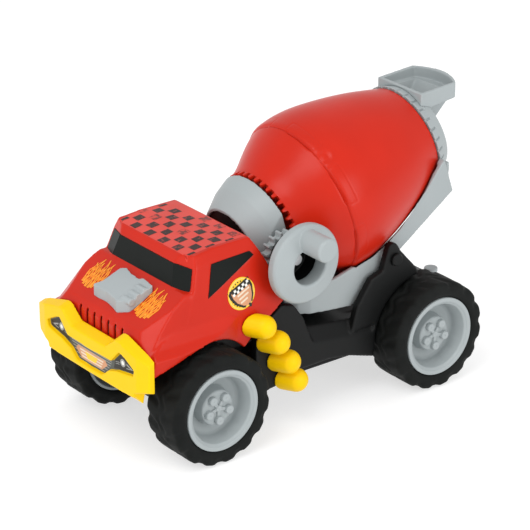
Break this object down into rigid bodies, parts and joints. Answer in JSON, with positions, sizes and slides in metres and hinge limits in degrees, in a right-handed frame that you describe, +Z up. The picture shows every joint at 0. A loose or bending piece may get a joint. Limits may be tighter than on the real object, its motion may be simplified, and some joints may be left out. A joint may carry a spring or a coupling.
{
  "type": "toy cement mixer truck",
  "caption": "Chunky toy cement mixer truck with a geared crank that turns a two-part drum on a tipping cradle, free-rolling fat wheels and a rear hopper.",
  "frame": {"origin": "on the ground midway between the two axles, in the truck's middle plane", "axes": "+Z up; the truck drives towards -Y, so +Y runs to its rear along its length; +X is its left side, which carries the crank"},
  "size_m": [0.1521, 0.2847, 0.1875],
  "materials": {
    "red_plastic": "glossy moulded plastic",
    "grey_plastic": "semi-gloss moulded plastic",
    "engine_grey": "semi-gloss moulded plastic",
    "yellow_plastic": "glossy moulded plastic",
    "black_plastic": "satin moulded plastic",
    "tyre_black": "satin soft plastic",
    "window_print": "dark printed label",
    "label_print": "printed label",
    "badge_print": "printed label",
    "steel": "plain zinc-plated"
  },
  "bodies": {
    "chassis": {"chassis_frame": "black_plastic", "base_plate": "black_plastic", "chassis_screws": "steel", "cab_shell": "red_plastic", "windscreen": "window_print", "side_window_left": "window_print", "side_window_right": "window_print", "hood_engine": "engine_grey", "bumper": "yellow_plastic", "headlight_label": "label_print", "badge_left": "badge_print", "badge_right": "badge_print", "exhaust_stack_left": "yellow_plastic", "exhaust_stack_right": "yellow_plastic", "tow_hook": "grey_plastic"},
    "front_wheels": {"front_axle": "steel", "front_rim_left": "grey_plastic", "front_rim_right": "grey_plastic", "front_tyre_left": "tyre_black", "front_tyre_right": "tyre_black"},
    "rear_wheels": {"rear_axle": "steel", "rear_rim_left": "grey_plastic", "rear_rim_right": "grey_plastic", "rear_tyre_left": "tyre_black", "rear_tyre_right": "tyre_black"},
    "cradle": {"cradle_frame": "grey_plastic", "nose_housing": "grey_plastic", "nose_plug": "black_plastic", "drum_pin": "steel", "rear_ring": "grey_plastic", "hopper": "grey_plastic", "pivot_pin_left": "black_plastic", "pivot_pin_right": "black_plastic"},
    "drum": {"drum_front_half": "red_plastic", "drum_rear_half": "red_plastic"},
    "crank": {"crank_wheel": "grey_plastic", "crank_hub": "black_plastic", "crank_pinion": "grey_plastic", "crank_screw": "steel"}
  },
  "joints": [
    {"name": "front_wheels_spin", "type": "hinge", "parent": "chassis", "child": "front_wheels", "pos_m": [0, -0.0875, 0.0368], "axis": [1, 0, 0], "continuous": true},
    {"name": "rear_wheels_spin", "type": "hinge", "parent": "chassis", "child": "rear_wheels", "pos_m": [0, 0.0875, 0.0368], "axis": [1, 0, 0], "continuous": true},
    {"name": "cradle_tilt", "type": "hinge", "parent": "chassis", "child": "cradle", "pos_m": [0, 0.065, 0.091], "axis": [-1, 0, 0], "range_deg": [0, 35]},
    {"name": "drum_spin", "type": "hinge", "parent": "cradle", "child": "drum", "pos_m": [0, -0.00648, 0.11587], "axis": [0, 0.9609, 0.277], "continuous": true},
    {"name": "crank_spin", "type": "hinge", "parent": "cradle", "child": "crank", "pos_m": [0, -0.01668, 0.11293], "axis": [1, 0, 0], "continuous": true}
  ],
  "couplings": [
    {"joint": "crank_spin", "follows": "drum_spin", "ratio": -2.6667}
  ]
}
